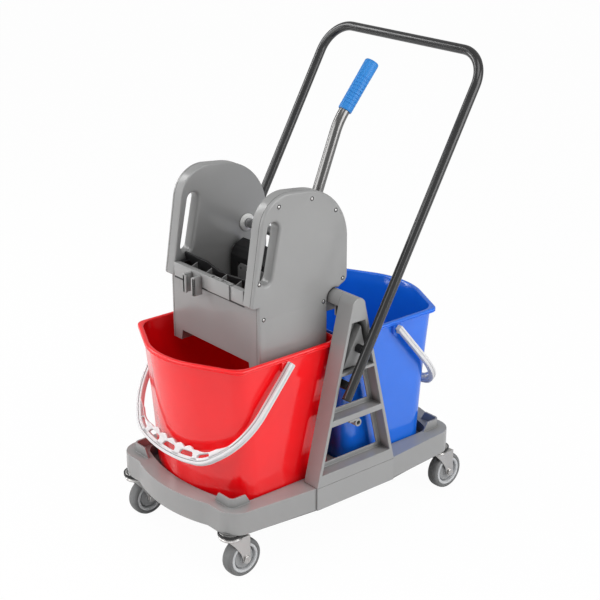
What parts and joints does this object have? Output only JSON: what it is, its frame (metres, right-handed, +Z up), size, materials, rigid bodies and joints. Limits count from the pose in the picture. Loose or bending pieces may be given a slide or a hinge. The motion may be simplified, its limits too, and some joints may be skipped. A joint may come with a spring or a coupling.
{
  "type": "double mop bucket trolley",
  "caption": "Mop trolley: boat-shaped tray on swivel casters carries a red and a blue bucket between A-frames, with a lever-driven wringer hooked on the cross beam and a tubular push handle",
  "frame": {"origin": "on the floor under the centre of the trolley's bounding box", "axes": "+Z up, +Y towards the push handle and the blue bucket, -Y towards the red bucket and the wringer, +X to the right of someone who looks from the front end towards the handle"},
  "size_m": [0.441, 0.6244, 0.9041],
  "materials": {
    "grey_plastic": "moulded, fine texture",
    "red_plastic": "glossy moulded",
    "blue_plastic": "glossy moulded",
    "pale_plastic": "pale moulded",
    "dark_tube": "dark grey powder coat",
    "black_plastic": "black moulded",
    "pad_plastic": "grey moulded",
    "white_plastic": "white moulded",
    "steel": "plain steel",
    "gear_plastic": "moulded gear",
    "chrome": "chromed tube",
    "grip_rubber": "soft ribbed grip",
    "zinc": "zinc plated pressing",
    "hub_plastic": "moulded wheel centre",
    "tyre_rubber": "grey rubber tread"
  },
  "bodies": {
    "chassis": {"base_tray": "grey_plastic", "side_frame_right": "grey_plastic", "side_frame_left": "grey_plastic", "cross_beam": "grey_plastic", "push_handle": "dark_tube", "handle_plugs": "black_plastic", "handle_spacers": "black_plastic", "handle_bolts": "steel", "frame_screws": "steel", "accessory_socket": "grey_plastic", "stem_fl": "zinc", "stem_fr": "zinc", "stem_rl": "zinc", "stem_rr": "zinc"},
    "swivel_front_left": {"fork_fl": "zinc", "axle_fl": "zinc"},
    "wheel_front_left": {"hub_fl": "hub_plastic", "tyre_fl": "tyre_rubber"},
    "swivel_front_right": {"fork_fr": "zinc", "axle_fr": "zinc"},
    "wheel_front_right": {"hub_fr": "hub_plastic", "tyre_fr": "tyre_rubber"},
    "swivel_rear_left": {"fork_rl": "zinc", "axle_rl": "zinc"},
    "wheel_rear_left": {"hub_rl": "hub_plastic", "tyre_rl": "tyre_rubber"},
    "swivel_rear_right": {"fork_rr": "zinc", "axle_rr": "zinc"},
    "wheel_rear_right": {"hub_rr": "hub_plastic", "tyre_rr": "tyre_rubber"},
    "red_bucket_body": {"red_bucket": "red_plastic"},
    "blue_bucket_body": {"blue_bucket": "blue_plastic"},
    "red_bail_body": {"red_bail": "pale_plastic"},
    "blue_bail_body": {"blue_bail": "pale_plastic"},
    "wringer": {"shell_right": "grey_plastic", "shell_left": "grey_plastic", "cover_right": "grey_plastic", "cover_left": "grey_plastic", "cover_screws": "steel", "front_panel": "grey_plastic", "front_rail": "grey_plastic", "rear_panel": "grey_plastic", "sieve": "black_plastic", "shaft_bushes": "white_plastic"},
    "lever": {"lever_shaft": "steel", "lever_hub": "steel", "lever_tube": "chrome", "lever_grip": "grip_rubber", "pinions": "gear_plastic"},
    "press": {"press_axle": "steel", "press_sectors": "gear_plastic", "press_frame": "black_plastic", "press_pad": "pad_plastic"}
  },
  "joints": [
    {"name": "front_left_swivel", "type": "hinge", "parent": "chassis", "child": "swivel_front_left", "pos_m": [-0.15, -0.27225, 0.087], "axis": [0, 0, 1], "continuous": true},
    {"name": "front_left_roll", "type": "hinge", "parent": "swivel_front_left", "child": "wheel_front_left", "pos_m": [-0.15, -0.24925, 0.0375], "axis": [1, 0, 0], "continuous": true},
    {"name": "front_right_swivel", "type": "hinge", "parent": "chassis", "child": "swivel_front_right", "pos_m": [0.15, -0.27225, 0.087], "axis": [0, 0, 1], "continuous": true},
    {"name": "front_right_roll", "type": "hinge", "parent": "swivel_front_right", "child": "wheel_front_right", "pos_m": [0.15, -0.24925, 0.0375], "axis": [1, 0, 0], "continuous": true},
    {"name": "rear_left_swivel", "type": "hinge", "parent": "chassis", "child": "swivel_rear_left", "pos_m": [-0.15, 0.25175, 0.087], "axis": [0, 0, 1], "continuous": true},
    {"name": "rear_left_roll", "type": "hinge", "parent": "swivel_rear_left", "child": "wheel_rear_left", "pos_m": [-0.15, 0.27475, 0.0375], "axis": [1, 0, 0], "continuous": true},
    {"name": "rear_right_swivel", "type": "hinge", "parent": "chassis", "child": "swivel_rear_right", "pos_m": [0.15, 0.25175, 0.087], "axis": [0, 0, 1], "continuous": true},
    {"name": "rear_right_roll", "type": "hinge", "parent": "swivel_rear_right", "child": "wheel_rear_right", "pos_m": [0.15, 0.27475, 0.0375], "axis": [1, 0, 0], "continuous": true},
    {"name": "red_bucket_lift", "type": "slide", "parent": "chassis", "child": "red_bucket_body", "axis": [0, 0, 1], "range_m": [0, 0.04]},
    {"name": "blue_bucket_lift", "type": "slide", "parent": "chassis", "child": "blue_bucket_body", "axis": [0, 0, 1], "range_m": [0, 0.04]},
    {"name": "red_bail_swing", "type": "hinge", "parent": "red_bucket_body", "child": "red_bail_body", "pos_m": [0, -0.14675, 0.3818], "axis": [-1, 0, 0], "range_deg": [0, 118]},
    {"name": "blue_bail_swing", "type": "hinge", "parent": "blue_bucket_body", "child": "blue_bail_body", "pos_m": [0, 0.12625, 0.3818], "axis": [1, 0, 0], "range_deg": [0, 152]},
    {"name": "wringer_lift", "type": "slide", "parent": "chassis", "child": "wringer", "axis": [0, 0, 1], "range_m": [0, 0.25]},
    {"name": "lever_pull", "type": "hinge", "parent": "wringer", "child": "lever", "pos_m": [0, -0.02825, 0.5663], "axis": [1, 0, 0], "range_deg": [0, 80]},
    {"name": "press_swing", "type": "hinge", "parent": "wringer", "child": "press", "pos_m": [0, -0.05687, 0.5205], "axis": [1, 0, 0], "range_deg": [-40, 0]}
  ],
  "couplings": [
    {"joint": "press_swing", "follows": "lever_pull", "ratio": -0.5}
  ]
}
